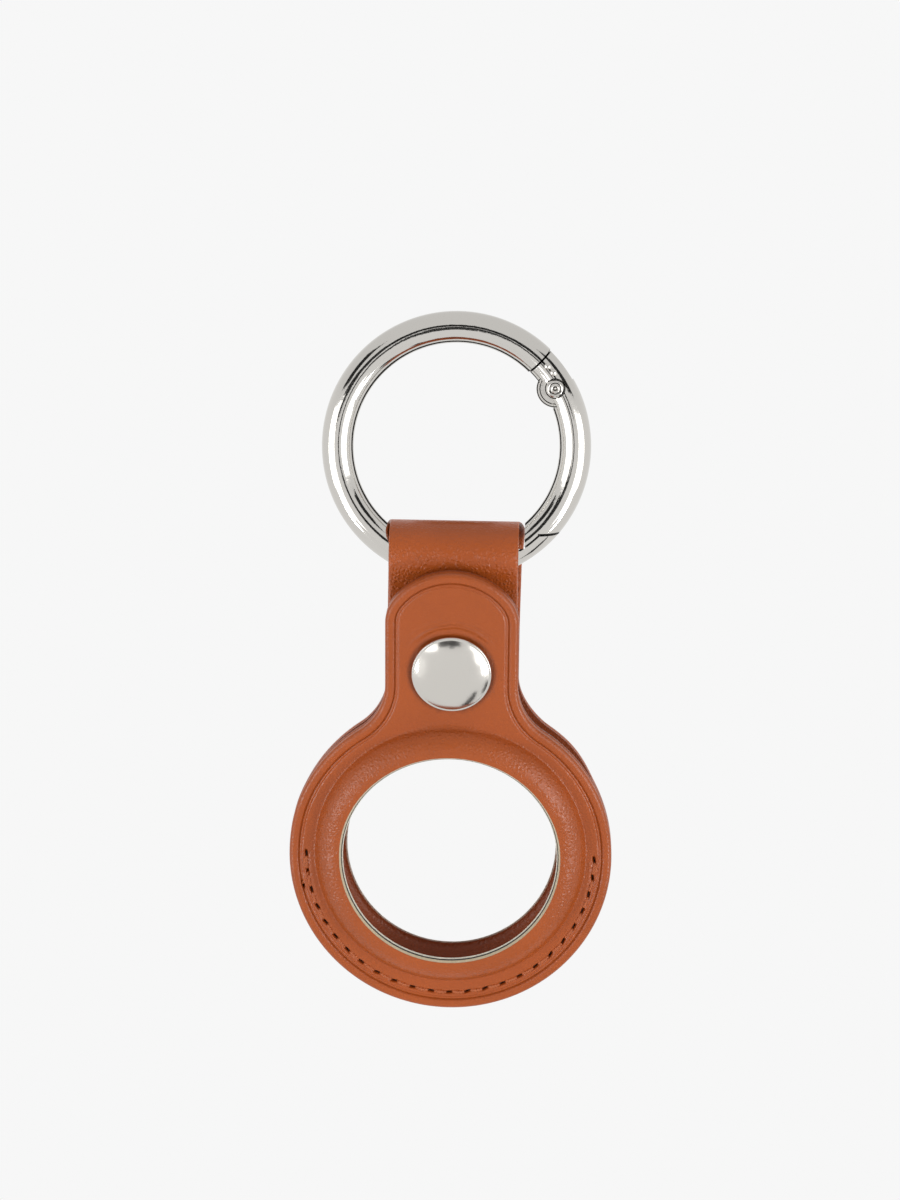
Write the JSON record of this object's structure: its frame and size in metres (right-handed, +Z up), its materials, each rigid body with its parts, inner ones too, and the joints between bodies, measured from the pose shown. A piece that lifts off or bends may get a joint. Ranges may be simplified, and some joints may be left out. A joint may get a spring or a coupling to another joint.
{
  "type": "tracker tag holder",
  "caption": "Round leather holder with open windows for a tracker tag, closed by a snap flap and hung by a folded strap from a spring-gate ring.",
  "frame": {"origin": "centre of the ring that the holder hangs from", "axes": "+Z up along the hanging case, -Y is the front with the snap cap, +X to the right seen from the front; the ring leans back from the XZ plane"},
  "size_m": [0.0402, 0.015, 0.0876],
  "materials": {
    "leather": "fine pebbled grain, satin",
    "core": "pressed felt",
    "lining": "grained, matt",
    "thread": "twisted",
    "polished_nickel": "polished",
    "plated_steel": "satin",
    "spring_wire": "drawn"
  },
  "bodies": {
    "ring": {"ring_body": "polished_nickel", "gate_rivet": "polished_nickel"},
    "gate": {"ring_gate": "polished_nickel", "gate_plunger": "plated_steel", "gate_spring": "spring_wire"},
    "case": {"front_leather": "leather", "front_core": "core", "front_lining": "lining", "back_leather": "leather", "back_core": "core", "back_lining": "lining", "strap": "leather", "front_thread": "thread", "back_thread": "thread", "snap_stud": "plated_steel", "snap_post": "polished_nickel"},
    "flap": {"flap_leather": "leather", "flap_core": "core", "flap_lining": "lining", "snap_cap": "polished_nickel", "snap_socket": "plated_steel", "snap_spring": "spring_wire"}
  },
  "joints": [
    {"name": "gate_swing", "type": "hinge", "parent": "ring", "child": "gate", "pos_m": [0.01196, 0.00151, 0.00703], "axis": [0, 0.9778, -0.2096], "range_deg": [0, 40], "stiffness_Nm_per_rad": 0.05, "springref_deg": -34.38, "deforming": ["gate_spring", "strap"]},
    {"name": "case_swing", "type": "hinge", "parent": "ring", "child": "case", "pos_m": [0, -0.00273, -0.01274], "axis": [1, 0, 0], "range_deg": [-90, 135]},
    {"name": "flap_open", "type": "hinge", "parent": "case", "child": "flap", "pos_m": [0, -0.00713, -0.05134], "axis": [1, 0, 0], "range_deg": [0, 80], "deforming": ["snap_spring"]}
  ]
}
